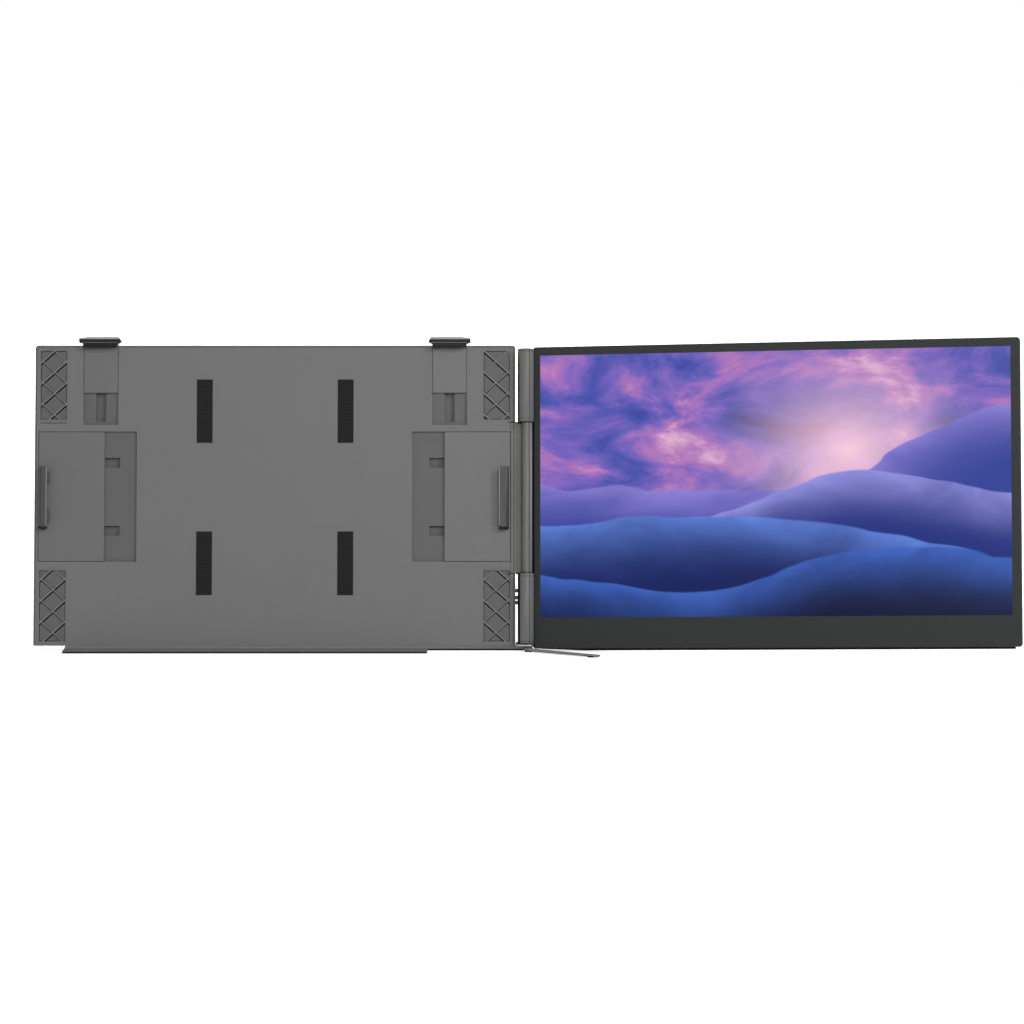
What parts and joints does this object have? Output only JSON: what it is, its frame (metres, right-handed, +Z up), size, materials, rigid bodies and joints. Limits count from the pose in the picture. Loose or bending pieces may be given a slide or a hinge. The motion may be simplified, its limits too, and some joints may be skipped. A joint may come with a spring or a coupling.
{
  "type": "laptop screen extender",
  "caption": "Second screen that hangs on a laptop: a backing bracket with sliding lid clips, a monitor hinged at its side, a folding rear stand and a swing-out leg.",
  "frame": {"origin": "on the table, under the foot of the monitor's hinge axis, on the underside of the right-hand rail foot", "axes": "+Z up, +X along the bracket towards the monitor, +Y away from the user"},
  "size_m": [0.8558, 0.2066, 0.2772],
  "materials": {
    "bracket_shell": "fine matt grey paint",
    "bracket_back": "fine matt grey paint",
    "arm_paint": "satin grey paint",
    "steel_inside": "zinc plated",
    "screw_black": "black oxide",
    "rubber_black": "matt",
    "hook_black": "fine moulded texture",
    "hinge_paint": "satin grey paint",
    "bezel_plastic": "fine moulded texture",
    "cover_plastic": "fine moulded texture",
    "screen": "satin screen with a picture",
    "diffuser": "white light guide in a tray",
    "board": "solder mask",
    "socket_metal": "nickel plated",
    "button_black": "satin",
    "leg_metal": "satin dark grey",
    "stand_metal": "satin dark grey",
    "brass_sleeve": "turned"
  },
  "bodies": {
    "bracket": {"bracket_front_cover": "bracket_shell", "bracket_back_cover": "bracket_back", "bracket_frame_plate": "steel_inside", "bracket_screws": "screw_black", "lid_grip_pads": "rubber_black", "stand_bumpers": "rubber_black", "hinge_block": "hinge_paint", "hinge_block_screws": "steel_inside", "hinge_shaft_upper": "steel_inside", "hinge_shaft_lower": "steel_inside", "base_rail": "leg_metal", "rail_pads": "rubber_black", "rail_screws": "screw_black", "stand_hinge_pins": "steel_inside", "leg_rivet": "steel_inside"},
    "monitor": {"monitor_bezel": "bezel_plastic", "screen_panel": "screen", "backlight_unit": "diffuser", "monitor_back_cover": "cover_plastic", "monitor_screws": "screw_black", "driver_board": "board", "usb_c_port_lower": "socket_metal", "usb_c_port_upper": "socket_metal", "mini_hdmi_port": "socket_metal", "hinge_barrel_upper": "hinge_paint", "hinge_barrel_lower": "hinge_paint", "barrel_screws": "steel_inside", "friction_sleeve_upper": "brass_sleeve", "friction_sleeve_lower": "brass_sleeve", "barrel_cap_upper": "cover_plastic", "barrel_cap_lower": "cover_plastic", "button_board": "board"},
    "left_arm": {"left_arm_plate": "arm_paint", "left_arm_retainer": "steel_inside", "left_side_hook": "hook_black", "left_side_hook_pad": "rubber_black"},
    "right_arm": {"right_arm_plate": "arm_paint", "right_arm_retainer": "steel_inside", "right_side_hook": "hook_black", "right_side_hook_pad": "rubber_black"},
    "left_top_clip": {"left_top_slider": "arm_paint", "left_top_retainer": "steel_inside", "left_top_hook": "hook_black", "left_top_hook_pad": "rubber_black"},
    "right_top_clip": {"right_top_slider": "arm_paint", "right_top_retainer": "steel_inside", "right_top_hook": "hook_black", "right_top_hook_pad": "rubber_black"},
    "stand": {"stand_plate": "stand_metal", "stand_pads": "rubber_black"},
    "leg": {"swing_leg": "leg_metal", "leg_foot": "rubber_black"},
    "power_button": {"power_button": "button_black"},
    "plus_button": {"plus_button": "button_black"},
    "minus_button": {"minus_button": "button_black"}
  },
  "joints": [
    {"name": "monitor_swing", "type": "hinge", "parent": "bracket", "child": "monitor", "pos_m": [0, 0, 0.005], "axis": [0, 0.1822, 0.9833], "range_deg": [-168.7, 11.3]},
    {"name": "stand_fold", "type": "hinge", "parent": "bracket", "child": "stand", "pos_m": [0, 0.02, 0.0036], "axis": [-1, 0, 0], "range_deg": [-79.5, 0]},
    {"name": "leg_swing", "type": "hinge", "parent": "bracket", "child": "leg", "pos_m": [0.0025, -0.0042, 0], "axis": [0, 0, 1], "range_deg": [-152.5, 0]},
    {"name": "left_arm_slide", "type": "slide", "parent": "bracket", "child": "left_arm", "axis": [1, 0, 0], "range_m": [0, 0.028]},
    {"name": "right_arm_slide", "type": "slide", "parent": "bracket", "child": "right_arm", "axis": [-1, 0, 0], "range_m": [0, 0.028]},
    {"name": "left_top_clip_slide", "type": "slide", "parent": "bracket", "child": "left_top_clip", "axis": [0, 0.1822, 0.9833], "range_m": [-0.028, 0.012]},
    {"name": "right_top_clip_slide", "type": "slide", "parent": "bracket", "child": "right_top_clip", "axis": [0, 0.1822, 0.9833], "range_m": [-0.028, 0.012]},
    {"name": "power_button_press", "type": "slide", "parent": "monitor", "child": "power_button", "axis": [0.9806, -0.1927, 0.0357], "range_m": [0, 0.0005], "stiffness_N_per_m": 400},
    {"name": "plus_button_press", "type": "slide", "parent": "monitor", "child": "plus_button", "axis": [0.9806, -0.1927, 0.0357], "range_m": [0, 0.0005], "stiffness_N_per_m": 400},
    {"name": "minus_button_press", "type": "slide", "parent": "monitor", "child": "minus_button", "axis": [0.9806, -0.1927, 0.0357], "range_m": [0, 0.0005], "stiffness_N_per_m": 400}
  ]
}
